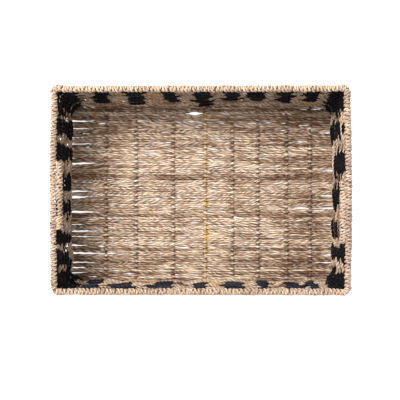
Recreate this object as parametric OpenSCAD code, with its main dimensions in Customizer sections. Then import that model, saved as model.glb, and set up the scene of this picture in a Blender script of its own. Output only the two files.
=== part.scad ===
// Rectangular woven storage basket: a wire frame of two hoops and upright stakes,
// twined with seagrass cord, with a lashed rim and a lashed hand-hole in each end wall.
// X runs along the long walls, Y across, Z up. The origin is under the middle of the base.

/* [Overall] */
// Length over the rim, at the middle of the end walls
overall_length = 380; // [340:1:420]
// Width over the rim
overall_width = 264; // [250:1:290]
// Height from the table to the top of the rim
overall_height = 115; // [105:1:135]
// How far the long walls lean out between the table and the rim
lean = 8; // [4:0.5:12]
// How far the end walls lean out between the table and the rim
end_lean = 10.5; // [10.5:0.5:11.5]
// Radius of the corners, along the middle of the wall
corner_radius = 7; // [7:0.5:10]
// How far the rim bows outward at the middle of each end wall
rim_bow = 1.8; // [1:0.2:4]
// How far the foot of each end wall bows outward
foot_bow = 0.8; // [0.4:0.1:1]

/* [Weave] */
// Thickness of the woven walls
wall_thickness = 9; // [8.5:0.5:10]
// Thickness of the woven base
base_thickness = 8; // [8:0.5:9]
// Outer diameter of the lashed rim
rim_diameter = 9.5; // [9:0.5:11]
// Outer diameter of the lashed handle rails
rail_diameter = 8; // [7:0.5:9]

/* [Frame wires] */
// Diameter of the rim hoop, the base hoop and the handle rails
hoop_wire = 4; // [3:0.5:4.5]
// Radius of the bends where a handle rail turns up beside its hand-hole
rail_bend = 4; // [3:0.5:5]
// Distance of a handle rail's uprights from the ends of the hand-hole
upright_inset = 3; // [2.5:0.5:4]
// Diameter of the upright stakes
stake_wire = 3; // [2:0.5:3.5]
// Inside-to-centre radius of the bend where a cross stake turns up into a wall
stake_bend = 6; // [5:0.5:7]
// Places of the eight cross stakes along X
cross_stake_x = [-127, -87, -38, 4.5, 40.5, 74, 112, 143];
// Which cross stake, from the left, is straw-coloured
straw_stake = 4; // [1:1:8]
// Places of the six stakes of the left wall along Y
left_stake_y = [-87, -59, -21, 11, 49, 80];
// Places of the five stakes of the right wall along Y
right_stake_y = [-79, -46, -3, 37, 80];

/* [Black spots] */
// Spots of the front wall: middle along X and width
front_spots = [[-139, 34], [-100, 36], [-46, 36], [0, 26], [42, 32], [80, 22], [117, 28], [142, 14]];
// Spots of the back wall: middle along X and width
back_spots = [[-129, 28], [-84, 31], [-39, 28], [2, 28], [37, 25], [72, 27], [108, 24], [141, 26]];
// Spots of the left wall: middle along Y and width
left_spots = [[-86, 19], [-59.5, 19], [-21.5, 19], [11.5, 21], [50, 24], [80.5, 22]];
// Spots of the right wall: middle along Y and width
right_spots = [[-79, 24], [-48, 29], [-6.5, 31], [36.5, 37], [80, 22]];
// Distance from the middle at which the black corners start, along the long walls
corner_start_x = 158; // [157:0.5:160]
// Distance from the middle at which the black corners start, along the end walls
corner_start_y = 98; // [96:0.5:100]

/* [Hand-holes] */
// Drop from the middle of the rim to the middle of a handle rail
rail_drop = 40; // [34:1:48]
// The two ends of the left hand-hole along Y
left_hole = [-51, 40];
// The two ends of the right hand-hole along Y
right_hole = [-68, 12];

/* [Hidden] */
$fn = 48;
clearance = 0.05;
channel_play = 0.2;
base_channel_play = 0.4;
wire_sides = 12;
lashing_sides = 20;
corner_steps = 5;
end_steps = 3;
bend_steps = 4;

rim_z = overall_height - rim_diameter / 2;
rail_z = rim_z - rail_drop;
wall_top_z = rim_z - rim_diameter / 2 - clearance;
low_top_z = rail_z - rail_diameter / 2 - clearance;
stake_z = base_thickness / 2;

rim_a = overall_length / 2 - rim_diameter / 2;
rim_b = overall_width / 2 - rim_diameter / 2;
foot_a = rim_a - end_lean;
foot_b = rim_b - lean;
half_wall = wall_thickness / 2;
lean_angle = atan(lean / rim_z);
end_lean_angle = atan(end_lean / rim_z);

// Middle of the wall at height z: half length, half width and end bow.
function half_a(z) = foot_a + end_lean * z / rim_z;
function half_b(z) = foot_b + lean * z / rim_z;
function bow(z) = foot_bow + (rim_bow - foot_bow) * z / rim_z;

// Middle of an end wall at the distance y from the middle.
function end_x(y, z) =
    half_a(z) - bow(z) * pow(y / (half_b(z) - corner_radius), 2);

// The base hoop lies in the outer side of the bends of the cross stakes.
bend_drop = (stake_bend + stake_wire / 2 + hoop_wire / 2 + clearance) * sqrt(0.5);
bend_x = half_b(stake_z) - stake_bend;
hoop_z = stake_z + stake_bend - bend_drop;
hoop_b = bend_x + bend_drop;
hoop_a = hoop_b + foot_a - foot_b;

// The woven walls stand on the base hoop.
wall_foot_z = hoop_z + hoop_wire / 2 + clearance;

// ---- Wires -------------------------------------------------------------------------

// A straight round bar from one point to another.
module bar(from, to, d) {
    run = to - from;
    length = norm(run);
    translate(from)
        rotate([0, acos(run.z / length), atan2(run.y, run.x)])
            cylinder(d = d, h = length);
}

// A closed or open tube along a path in the XY plane, with mitred joints between its stretches.
module sweep(path, d, sides, closed) {
    n = len(path);
    rings = [
        for (i = [0 : n - 1])
            let (
                before = closed || i > 0 ? direction(path[(i + n - 1) % n], path[i]) : undef,
                after = closed || i < n - 1 ? direction(path[i], path[(i + 1) % n]) : undef,
                into = is_undef(before) ? after : before,
                out = is_undef(after) ? before : after,
                middle = direction([0, 0], into + out),
                across = [middle.y, -middle.x] / (middle * into)
            )
                for (k = [0 : sides - 1])
                    let (angle = 360 * k / sides, reach = across * cos(angle) * d / 2)
                        [path[i].x + reach.x, path[i].y + reach.y, sin(angle) * d / 2]
    ];
    walls = [
        for (i = [0 : closed ? n - 1 : n - 2])
            for (k = [0 : sides - 1])
                let (
                    here = i * sides,
                    there = (i + 1) % n * sides,
                    next = (k + 1) % sides
                )
                    [here + k, here + next, there + next, there + k]
    ];
    caps = closed ? [] : [
        [for (k = [sides - 1 : -1 : 0]) k],
        [for (k = [0 : sides - 1]) (n - 1) * sides + k]
    ];
    polyhedron(points = rings, faces = concat(walls, caps));
}

function direction(from, to) = (to - from) / norm(to - from);
function reversed(list) = [for (i = [len(list) - 1 : -1 : 0]) list[i]];
function scaled(list, sx, sy) = [for (p = list) [p.x * sx, p.y * sy]];

// A quarter of a hoop with straight long sides, round corners and slightly bowed ends,
// from the middle of the right end round to the start of the back side.
function quarter_hoop(a, b, ends_bow) =
    let (
        chord = b - corner_radius,
        reach = (pow(chord, 2) + pow(ends_bow, 2)) / (2 * ends_bow),
        turn = asin(chord / reach),
        end_radius = reach + corner_radius,
        corner_x = a - corner_radius - ends_bow
    )
        concat(
            [
                for (i = [0 : end_steps])
                    let (angle = turn * i / (end_steps + 1))
                        [a + end_radius * (cos(angle) - 1), end_radius * sin(angle)]
            ],
            [
                for (i = [0 : corner_steps])
                    let (angle = turn + (90 - turn) * i / corner_steps)
                        [corner_x + corner_radius * cos(angle), chord + corner_radius * sin(angle)]
            ]
        );

function past_first(list) = [for (i = [1 : len(list) - 1]) list[i]];

module hoop(a, b, ends_bow, z, d) {
    quarter = quarter_hoop(a, b, ends_bow);
    rest = past_first(quarter);
    translate([0, 0, z])
        sweep(
            concat(
                quarter, scaled(reversed(rest), -1, 1),
                scaled(quarter, -1, -1), scaled(reversed(rest), 1, -1)
            ),
            d, wire_sides, true
        );
}

// Half of a cross stake, in the plane of Y and Z: from the bend in the base up to the rim.
stake_top = [half_b(rim_z - hoop_wire / 2 - clearance), rim_z - hoop_wire / 2 - clearance];
half_stake = concat(
    [
        for (i = [0 : bend_steps])
            let (angle = (90 - lean_angle) * i / bend_steps)
                [bend_x + stake_bend * sin(angle), stake_z + stake_bend * (1 - cos(angle))]
    ],
    [stake_top]
);

// The straight upper part of a cross stake, in the front (-1) or back (1) wall.
module stake_upright(number, side, d) {
    x = cross_stake_x[number - 1];
    foot = half_stake[bend_steps];
    bar([x, side * foot.x, foot.y], [x, side * stake_top.x, stake_top.y], d);
}

module cross_stake(number, d) {
    translate([cross_stake_x[number - 1], 0, 0])
        rotate([90, 0, 90])
            sweep(concat(scaled(reversed(half_stake), -1, 1), half_stake), d, wire_sides, false);
}

// An upright stake of an end wall, from the base hoop to the rim hoop or to the handle rail.
module end_stake(side, y, hole, d) {
    under_rail = y > hole[0] && y < hole[1];
    top = (under_rail ? rail_z : rim_z) - hoop_wire / 2 - clearance;
    foot = hoop_z + hoop_wire / 2 + clearance;
    bar([side * end_x(y, foot), y, foot], [side * end_x(y, top), y, top], d);
}

module corner_post(side_x, side_y, d) {
    foot = hoop_z + hoop_wire / 2 + clearance;
    top = rim_z - hoop_wire / 2 - clearance;
    bar(
        [side_x * corner_middle_x(foot), side_y * corner_middle_y(foot), foot],
        [side_x * corner_middle_x(top), side_y * corner_middle_y(top), top],
        d
    );
}

function corner_middle_x(z) = half_a(z) - bow(z) - corner_radius * (1 - sqrt(0.5));
function corner_middle_y(z) = half_b(z) - corner_radius * (1 - sqrt(0.5));

// A handle rail is a U of wire. Its uprights stand in the wall beside the hand-hole
// and reach up to the rim hoop.
function rail_upright(hole) = [hole[0] - upright_inset, hole[1] + upright_inset];

module handle_rail(side, hole, d) {
    uprights = rail_upright(hole);
    x_low = end_x((hole[0] + hole[1]) / 2, rail_z);
    rise = (rim_z - hoop_wire / 2 - clearance - rail_z) / cos(end_lean_angle);
    half_u = concat(
        [
            for (i = [0 : bend_steps])
                let (angle = 90 * i / bend_steps)
                    [
                        uprights[1] - rail_bend * (1 - sin(angle)),
                        rail_bend * (1 - cos(angle))
                    ]
        ],
        [[uprights[1], rise]]
    );
    other_half = [for (p = half_u) [uprights[0] + uprights[1] - p.x, p.y]];
    translate([side * x_low, 0, rail_z])
        rotate([0, side * end_lean_angle, 0])
            rotate([90, 0, 90])
                sweep(concat(reversed(other_half), half_u), d, wire_sides, false);
}

module end_stakes(side, ys, hole, d) {
    for (y = ys)
        end_stake(side, y, hole, d);
}

module cross_stakes(d) {
    for (number = [1 : len(cross_stake_x)])
        cross_stake(number, d);
}

// ---- Woven walls -------------------------------------------------------------------

// A slab between two heights whose plan is given by points along its inner and outer edges.
module ribbon(inner_low, outer_low, inner_high, outer_high, low, high) {
    n = len(inner_low);
    points = [
        for (i = [0 : n - 1])
            each [
                [inner_low[i].x, inner_low[i].y, low],
                [outer_low[i].x, outer_low[i].y, low],
                [outer_high[i].x, outer_high[i].y, high],
                [inner_high[i].x, inner_high[i].y, high]
            ]
    ];
    sides = [
        for (i = [0 : n - 2])
            for (k = [0 : 3])
                let (a = 4 * i + k, b = 4 * i + (k + 1) % 4)
                    each [[a, b, b + 4], [a, b + 4, a + 4]]
    ];
    first = [[0, 3, 2], [0, 2, 1]];
    last_ring = 4 * (n - 1);
    last = [[last_ring, last_ring + 1, last_ring + 2], [last_ring, last_ring + 2, last_ring + 3]];
    polyhedron(points = points, faces = concat(sides, first, last));
}

// A stretch of the back wall between two places along X. The front wall is its mirror image.
function long_edge(from, to, z, off) = [[to, half_b(z) + off], [from, half_b(z) + off]];

module long_slab(from, to) {
    ribbon(
        long_edge(from, to, wall_foot_z, -half_wall), long_edge(from, to, wall_foot_z, half_wall),
        long_edge(from, to, wall_top_z, -half_wall), long_edge(from, to, wall_top_z, half_wall),
        wall_foot_z, wall_top_z
    );
}

// A stretch of the right wall between two places along Y. The left wall is its mirror image.
function end_edge(from, to, z, off) = [
    for (i = [0 : end_steps])
        let (y = from + (to - from) * i / end_steps)
            [end_x(y, z) + off, y]
];

module end_slab(from, to, top) {
    ribbon(
        end_edge(from, to, wall_foot_z, -half_wall), end_edge(from, to, wall_foot_z, half_wall),
        end_edge(from, to, top, -half_wall), end_edge(from, to, top, half_wall),
        wall_foot_z, top
    );
}

// The edge of a corner, from the end wall round to the long wall.
function corner_edge(z, off) = concat(
    [[end_x(corner_start_y + clearance, z) + off, corner_start_y + clearance]],
    [
        for (i = [0 : corner_steps])
            let (angle = 90 * i / corner_steps, radius = corner_radius + off)
                [
                    half_a(z) - bow(z) - corner_radius + radius * cos(angle),
                    half_b(z) - corner_radius + radius * sin(angle)
                ]
    ],
    [[corner_start_x + clearance, half_b(z) + off]]
);

module corner_slab() {
    ribbon(
        corner_edge(wall_foot_z, -half_wall), corner_edge(wall_foot_z, half_wall),
        corner_edge(wall_top_z, -half_wall), corner_edge(wall_top_z, half_wall),
        wall_foot_z, wall_top_z
    );
}

function low_edge(spot) = spot[0] - spot[1] / 2;
function high_edge(spot) = spot[0] + spot[1] / 2;

// The stretches of plain cord left between the black spots, from one corner to the other.
function plain_stretches(spots, start) = [
    for (i = [0 : len(spots)])
        let (
            from = i == 0 ? -start : high_edge(spots[i - 1]),
            to = i == len(spots) ? start : low_edge(spots[i])
        )
            [from + clearance, to - clearance]
];

function spot_stretches(spots) = [for (spot = spots) [low_edge(spot), high_edge(spot)]];

module long_wall(side, stretches) {
    mirror([0, side > 0 ? 0 : 1, 0])
        for (stretch = stretches)
            long_slab(stretch[0], stretch[1]);
}

// Stretches that run on into a hand-hole are divided at its ends, and the part in it is lower.
function cut_at(stretches, hole) = [
    for (s = stretches)
        each [
            for (piece = [
                [s[0], min(s[1], hole[0])],
                [max(s[0], hole[0]), min(s[1], hole[1])],
                [max(s[0], hole[1]), s[1]]
            ])
                if (piece[1] - piece[0] > 1) piece
        ]
];

module end_wall(side, stretches, hole) {
    difference() {
        mirror([side > 0 ? 0 : 1, 0, 0])
            for (s = cut_at(stretches, hole))
                end_slab(s[0], s[1], s[0] >= hole[0] && s[1] <= hole[1] ? low_top_z : wall_top_z);
        handle_rail(side, hole, hoop_wire + channel_play);
    }
}

// The stakes run up inside the black spots, so only the spots have channels.
module long_spots(side, spots) {
    difference() {
        long_wall(side, spot_stretches(spots));
        cross_stakes(stake_wire + channel_play);
    }
}

module end_spots(side, spots, ys, hole) {
    difference() {
        end_wall(side, spot_stretches(spots), hole);
        end_stakes(side, ys, hole, stake_wire + channel_play);
    }
}

module black_corner(side_x, side_y) {
    color("#16181f")
        mirror([side_x > 0 ? 0 : 1, 0, 0])
            mirror([0, side_y > 0 ? 0 : 1, 0])
                difference() {
                    corner_slab();
                    corner_post(1, 1, stake_wire + channel_play);
                }
}

module base_weave() {
    inner_a = foot_a - foot_bow - half_wall - clearance;
    inner_b = foot_b - half_wall - clearance;
    color("#b39c80")
        difference() {
            translate([-inner_a, -inner_b, 0])
                cube([2 * inner_a, 2 * inner_b, base_thickness]);
            for (x = cross_stake_x)
                bar(
                    [x, -inner_b - base_thickness, stake_z],
                    [x, inner_b + base_thickness, stake_z],
                    stake_wire + base_channel_play
                );
        }
}

// ---- Lashings ----------------------------------------------------------------------

// Paths of the lashings of the right and back sides. They meet halfway round the corner.
rim_quarter = quarter_hoop(rim_a, rim_b, rim_bow);
last_end_point = end_steps + 1 + floor(corner_steps / 2);
meeting_point = (rim_quarter[last_end_point] + rim_quarter[last_end_point + 1]) / 2;
end_half = concat([for (i = [0 : last_end_point]) rim_quarter[i]], [meeting_point]);
long_half = concat(
    [meeting_point],
    [for (i = [last_end_point + 1 : len(rim_quarter) - 1]) rim_quarter[i]]
);
end_path = concat(scaled(reversed(end_half), 1, -1), past_first(end_half));
long_path = concat(long_half, scaled(reversed(long_half), -1, 1));

module rim_tube(path, turned, d, sides) {
    translate([0, 0, rim_z])
        rotate(turned ? 180 : 0)
            sweep(path, d, sides, false);
}

module corner_posts(d) {
    for (side_x = [-1, 1], side_y = [-1, 1])
        corner_post(side_x, side_y, d);
}

module long_lashing(side) {
    color("#e3c7a0")
        difference() {
            rim_tube(long_path, side < 0, rim_diameter, lashing_sides);
            rim_tube(long_path, side < 0, hoop_wire + channel_play, wire_sides);
            for (number = [1 : len(cross_stake_x)])
                stake_upright(number, side, stake_wire + channel_play);
            corner_posts(stake_wire + channel_play);
        }
}

module end_lashing(side, ys, hole) {
    color("#e3c7a0")
        difference() {
            rim_tube(end_path, side < 0, rim_diameter, lashing_sides);
            rim_tube(end_path, side < 0, hoop_wire + channel_play, wire_sides);
            end_stakes(side, ys, hole, stake_wire + channel_play);
            handle_rail(side, hole, hoop_wire + channel_play);
            corner_posts(stake_wire + channel_play);
        }
}

module rail_lashing(side, ys, hole) {
    x = side * end_x((hole[0] + hole[1]) / 2, rail_z);
    color("#dcc09a")
        difference() {
            bar([x, hole[0] + clearance, rail_z], [x, hole[1] - clearance, rail_z], rail_diameter);
            handle_rail(side, hole, hoop_wire + channel_play);
            end_stakes(side, ys, hole, stake_wire + channel_play);
        }
}

// ---- Sub-parts ---------------------------------------------------------------------

module rim_hoop() {
    color("#5a4a3c")
        hoop(rim_a, rim_b, rim_bow, rim_z, hoop_wire);
}

module base_hoop() {
    color("#5a4a3c")
        hoop(hoop_a, hoop_b, foot_bow, hoop_z, hoop_wire);
}

module bent_stake(number) {
    color(number == straw_stake ? "#d9a63c" : "#5a4a3c")
        cross_stake(number, stake_wire);
}

module left_stake(number) {
    color("#5a4a3c")
        end_stake(-1, left_stake_y[number - 1], left_hole, stake_wire);
}

module right_stake(number) {
    color("#5a4a3c")
        end_stake(1, right_stake_y[number - 1], right_hole, stake_wire);
}

module corner_wire(side_x, side_y) {
    color("#5a4a3c")
        corner_post(side_x, side_y, stake_wire);
}

module handle_rail_wire(side, hole) {
    color("#5a4a3c")
        handle_rail(side, hole, hoop_wire);
}

module plain_long_wall(side, spots) {
    color("#cdb08a")
        long_wall(side, plain_stretches(spots, corner_start_x));
}

module plain_end_wall(side, spots, hole) {
    color("#cdb08a")
        end_wall(side, plain_stretches(spots, corner_start_y), hole);
}

module black_long_spots(side, spots) {
    color("#16181f")
        long_spots(side, spots);
}

module black_end_spots(side, spots, ys, hole) {
    color("#16181f")
        end_spots(side, spots, ys, hole);
}

rim_hoop();
base_hoop();
bent_stake(1);  // cross_stake_1
bent_stake(2);  // cross_stake_2
bent_stake(3);  // cross_stake_3
bent_stake(4);  // cross_stake_4
bent_stake(5);  // cross_stake_5
bent_stake(6);  // cross_stake_6
bent_stake(7);  // cross_stake_7
bent_stake(8);  // cross_stake_8
left_stake(1);  // left_stake_1
left_stake(2);  // left_stake_2
left_stake(3);  // left_stake_3
left_stake(4);  // left_stake_4
left_stake(5);  // left_stake_5
left_stake(6);  // left_stake_6
right_stake(1);  // right_stake_1
right_stake(2);  // right_stake_2
right_stake(3);  // right_stake_3
right_stake(4);  // right_stake_4
right_stake(5);  // right_stake_5
corner_wire(-1, -1);  // corner_post_front_left
corner_wire(1, -1);  // corner_post_front_right
corner_wire(-1, 1);  // corner_post_back_left
corner_wire(1, 1);  // corner_post_back_right
handle_rail_wire(-1, left_hole);  // handle_rail_left
handle_rail_wire(1, right_hole);  // handle_rail_right
base_weave();
plain_long_wall(-1, front_spots);  // front_wall_weave
plain_long_wall(1, back_spots);  // back_wall_weave
plain_end_wall(-1, left_spots, left_hole);  // left_wall_weave
plain_end_wall(1, right_spots, right_hole);  // right_wall_weave
black_long_spots(-1, front_spots);  // front_black_spots
black_long_spots(1, back_spots);  // back_black_spots
black_end_spots(-1, left_spots, left_stake_y, left_hole);  // left_black_spots
black_end_spots(1, right_spots, right_stake_y, right_hole);  // right_black_spots
black_corner(-1, -1);  // black_corner_front_left
black_corner(1, -1);  // black_corner_front_right
black_corner(-1, 1);  // black_corner_back_left
black_corner(1, 1);  // black_corner_back_right
long_lashing(-1);  // rim_lashing_front
long_lashing(1);  // rim_lashing_back
end_lashing(-1, left_stake_y, left_hole);  // rim_lashing_left
end_lashing(1, right_stake_y, right_hole);  // rim_lashing_right
rail_lashing(-1, left_stake_y, left_hole);  // rail_lashing_left
rail_lashing(1, right_stake_y, right_hole);  // rail_lashing_right
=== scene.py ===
"""A rectangular seagrass basket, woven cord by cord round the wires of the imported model.

Metres, in the model's frame: X along the long walls, Y across, Z up, the floor at zero.
The walls are one cord that climbs in a spiral, in and out of the upright wires, with
black lengths worked in at the spots and corners. The base is rows of cord across the
lower wires. The rim, the rails of the hand-holes and the foot are lashed.
"""

import bpy
import numpy as np
from mathutils import Matrix, Vector


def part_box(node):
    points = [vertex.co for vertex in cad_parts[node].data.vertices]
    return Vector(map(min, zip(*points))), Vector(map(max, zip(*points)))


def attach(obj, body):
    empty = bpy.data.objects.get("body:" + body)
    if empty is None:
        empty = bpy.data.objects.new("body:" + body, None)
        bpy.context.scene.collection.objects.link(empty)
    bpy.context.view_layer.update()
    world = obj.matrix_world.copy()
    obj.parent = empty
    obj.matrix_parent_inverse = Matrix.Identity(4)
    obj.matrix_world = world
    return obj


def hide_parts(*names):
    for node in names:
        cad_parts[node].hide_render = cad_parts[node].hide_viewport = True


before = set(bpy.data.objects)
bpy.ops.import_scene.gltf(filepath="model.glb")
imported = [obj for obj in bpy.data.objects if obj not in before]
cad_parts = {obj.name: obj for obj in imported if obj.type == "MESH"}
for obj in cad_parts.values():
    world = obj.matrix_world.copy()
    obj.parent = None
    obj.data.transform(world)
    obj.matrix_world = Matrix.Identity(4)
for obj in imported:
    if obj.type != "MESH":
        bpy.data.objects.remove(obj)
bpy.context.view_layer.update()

MM = 0.001
TAU = 2 * np.pi

# ---- Places, read from the frame ----


def box(node):
    low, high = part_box(node)
    return np.array(low), np.array(high)


def middle(node, axis):
    low, high = box(node)
    return (low[axis] + high[axis]) / 2


def loose_spans(node, axis):
    """The lowest and highest coordinate, along one axis, of each loose part of a node."""
    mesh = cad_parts[node].data
    keys = [tuple(round(c, 5) for c in v.co) for v in mesh.vertices]
    parent = {key: key for key in keys}

    def root(key):
        while parent[key] != key:
            parent[key] = parent[parent[key]]
            key = parent[key]
        return key

    for edge in mesh.edges:
        a, b = (root(keys[i]) for i in edge.vertices)
        parent[a] = b
    spans = {}
    for key, v in zip(keys, mesh.vertices):
        place = v.co[axis]
        low, high = spans.get(root(key), (place, place))
        spans[root(key)] = (min(low, place), max(high, place))
    return sorted(spans.values())


def stake_places(stem, axis):
    """The places, along one axis, of the stakes whose names start with the stem."""
    count = sum(name.startswith(stem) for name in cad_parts)
    return [middle(f"{stem}_{i + 1}", axis) for i in range(count)]


SIDES = ("front", "right", "back", "left")
LONG_SIDES = ("front", "back")
STRAW_STAKE = "cross_stake_4"

rim_low, rim_high = box("rim_hoop")
HOOP_RADIUS = (rim_high[2] - rim_low[2]) / 2
RIM_Z = (rim_high[2] + rim_low[2]) / 2
RIM_A = rim_high[0] - HOOP_RADIUS
RIM_B = rim_high[1] - HOOP_RADIUS
lash_low, lash_high = box("rim_lashing_front")
RIM_RADIUS = (lash_high[2] - lash_low[2]) / 2

base_low, base_high = box("base_weave")
BASE_A, BASE_B, BASE_TOP = base_high
STAKE_Z = BASE_TOP / 2
# The design's values that no node's box gives: the walls' thickness, the end walls' bow
# at the foot and at the rim, and the corners' radius.
WALL = 9 * MM
FOOT_BOW = 0.8 * MM
RIM_BOW = 1.8 * MM
CORNER = 7 * MM
FOOT_A = BASE_A + WALL / 2 + FOOT_BOW
FOOT_B = BASE_B + WALL / 2
foot_low, foot_high = box("base_hoop")
FOOT_HOOP_Z = (foot_high[2] + foot_low[2]) / 2
FOOT_HOOP_A = foot_high[0] - HOOP_RADIUS
FOOT_HOOP_B = foot_high[1] - HOOP_RADIUS

cross_x = stake_places("cross_stake", 0)
stakes = {
    "front": cross_x,
    "back": cross_x,
    "left": stake_places("left_stake", 1),
    "right": stake_places("right_stake", 1),
}
spots = {
    side: loose_spans(f"{side}_black_spots", 0 if side in LONG_SIDES else 1)
    for side in SIDES
}
corner_low, corner_high = box("black_corner_back_right")
BLACK_FROM_X, BLACK_FROM_Y = corner_low[0], corner_low[1]

rails = {}
for side in ("left", "right"):
    low, high = box(f"rail_lashing_{side}")
    rails[side] = {
        "ends": (low[1], high[1]),
        "z": (low[2] + high[2]) / 2,
        "radius": (high[2] - low[2]) / 2,
    }


def half_a(z):
    """Half the length over the middles of the end walls, at the height z."""
    return FOOT_A + (RIM_A - FOOT_A) * z / RIM_Z


def half_b(z):
    """Half the width over the middles of the long walls, at the height z."""
    return FOOT_B + (RIM_B - FOOT_B) * z / RIM_Z


def bow(z):
    """How far an end wall bows outward at its middle, at the height z."""
    return FOOT_BOW + (RIM_BOW - FOOT_BOW) * z / RIM_Z


# ---- The loop that a row of the wall follows ----

MID_Z = RIM_Z / 2
LONG = 2 * (half_a(MID_Z) - CORNER)
SHORT = 2 * (half_b(MID_Z) - CORNER)
TURN = np.pi * CORNER / 2
# Distances along the loop at which the sides start; it starts in the front left corner.
START = {
    "front": TURN / 2,
    "right": TURN * 1.5 + LONG,
    "back": TURN * 2.5 + LONG + SHORT,
    "left": TURN * 3.5 + 2 * LONG + SHORT,
}
LENGTH = {"front": LONG, "back": LONG, "left": SHORT, "right": SHORT}
LOOP = 2 * LONG + 2 * SHORT + 4 * TURN


def way_of(side):
    """1 where the loop runs up its axis along the side, -1 where it runs down it."""
    return 1 if side in ("front", "right") else -1


def side_point(side, f, z):
    """The middle of the wall at the fraction f of a side, and the way outward there."""
    a, b = half_a(z), half_b(z)
    way = way_of(side)
    if side in LONG_SIDES:
        x = way * (2 * f - 1) * (a - CORNER)
        point = np.stack([x, -way * b, z], -1)
        out = np.stack([0 * x, 0 * x - way, 0 * x], -1)
        # the end walls' bow makes the corners step in by this much
        point[:, 0] *= (a - bow(z) - CORNER) / (a - CORNER)
        return point, out
    y = way * (2 * f - 1) * (b - CORNER)
    share = y / (b - CORNER)
    point = np.stack([way * (a - bow(z) * share**2), y, z], -1)
    slope = 2 * bow(z) * share / (b - CORNER)
    out = np.stack([way + 0 * y, slope, 0 * y], -1)
    return point, unit(out)


def corner_point(number, f, z):
    """The middle of the wall round a corner; corner 0 is front right, 1 back right."""
    sx = (1, 1, -1, -1)[number]
    sy = (-1, 1, 1, -1)[number]
    angle = (number - 1 + f) * np.pi / 2
    out = np.stack([np.cos(angle), np.sin(angle), 0 * angle], -1)
    a, b = half_a(z) - bow(z), half_b(z)
    middle_point = np.stack([sx * (a - CORNER), sy * (b - CORNER), z], -1)
    return middle_point + CORNER * out, out


def loop_point(t, z):
    """Points and outward ways at the distances t along the loop and heights z."""
    points = np.zeros((len(t), 3))
    outs = np.zeros((len(t), 3))
    for side in SIDES:
        f = (t - START[side]) / LENGTH[side]
        pick = (f >= 0) & (f <= 1)
        points[pick], outs[pick] = side_point(side, f[pick], z[pick])
    for number, side in enumerate(SIDES):
        start = START[side] + LENGTH[side]
        f = ((t - start) % LOOP) / TURN
        pick = (f > 0) & (f < 1)
        points[pick], outs[pick] = corner_point(number, f[pick], z[pick])
    return points, outs


def along(side, coordinate, z):
    """The distance along the loop of a coordinate on a side, at the height z."""
    if side in LONG_SIDES:
        half = half_a(z) - bow(z) - CORNER
    else:
        half = half_b(z) - CORNER
    return START[side] + (way_of(side) * coordinate / half + 1) / 2 * LENGTH[side]


# ---- Smooth chance ----


def wander(rng, places, knot, low=-1.0, high=1.0):
    """A smooth random curve over the places, with a new value every knot."""
    first = np.min(places)
    count = int((np.max(places) - first) / knot) + 3
    values = rng.uniform(low, high, count)
    at = (places - first) / knot
    i = np.clip(at.astype(int), 0, count - 2)
    f = at - i
    f = f * f * (3 - 2 * f)
    return values[i] * (1 - f) + values[i + 1] * f


def row_fields(rng, rows, places, knot, likeness, amount):
    """One smooth curve for each row, each partly like the row below it."""
    curves = [wander(rng, places, knot)]
    fresh = np.sqrt(1 - likeness**2)
    for _ in range(rows - 1):
        curves.append(likeness * curves[-1] + fresh * wander(rng, places, knot))
    return amount * np.array(curves)


def smooth_step(x):
    x = np.clip(x, 0, 1)
    return x * x * (3 - 2 * x)


# ---- Cords as meshes ----

PLY_SIDES = 6
RING = np.arange(PLY_SIDES) * TAU / PLY_SIDES
TWIST_PITCH = 10 * MM
# How cords are laid up: number of plies, their radius and their distance from the
# middle, as shares of the cord's width.
LAYS = {"two": (2, 0.35, 0.19), "three": (3, 0.29, 0.24), "open": (2, 0.29, 0.24)}
# How light the painted shade in the groove between two plies is, and over which turn of a
# ply it fades.
GROOVE_SHADE = 0.15
GROOVE_FROM = -0.5
GROOVE_FADE = 1.2
# Painted shade on the flanks, where rows meet: where it starts and how wide it fades,
# as shares of the cord's width.
FLANK_START = 0.17
FLANK_WIDE = 0.24
# A cord end thins to this share of its width over this length.
END_SHARE = 0.3
END_TAPER = 3 * MM
# Smooth chance along a cord: the distance between new values, and their lowest and
# highest, for the plies' distance from the middle and for their radius.
SLACK = (14 * MM, 0.86, 1.1)
SWELL = (9 * MM, 0.86, 1.08)
TWIST_KNOT = 20 * MM
TWIST_DRIFT = 1.6
PATCH_KNOT = 6 * MM
PLY_TONE_CHANCE = 0.05
# Patches leave golden strands alone, and make no other strand lighter than the limit.
GOLDEN_FROM = 0.93
TONE_LIMIT = 0.9


def new_object(name, data):
    made = bpy.data.objects.new(name, data)
    bpy.context.scene.collection.objects.link(made)
    return made


def unit(ways):
    return ways / np.linalg.norm(ways, axis=1)[:, None]


def run_along(path):
    """The distance along the path of each of its points."""
    steps = np.linalg.norm(np.diff(path, axis=0), axis=1)
    return np.concatenate([[0], np.cumsum(steps)])


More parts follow.
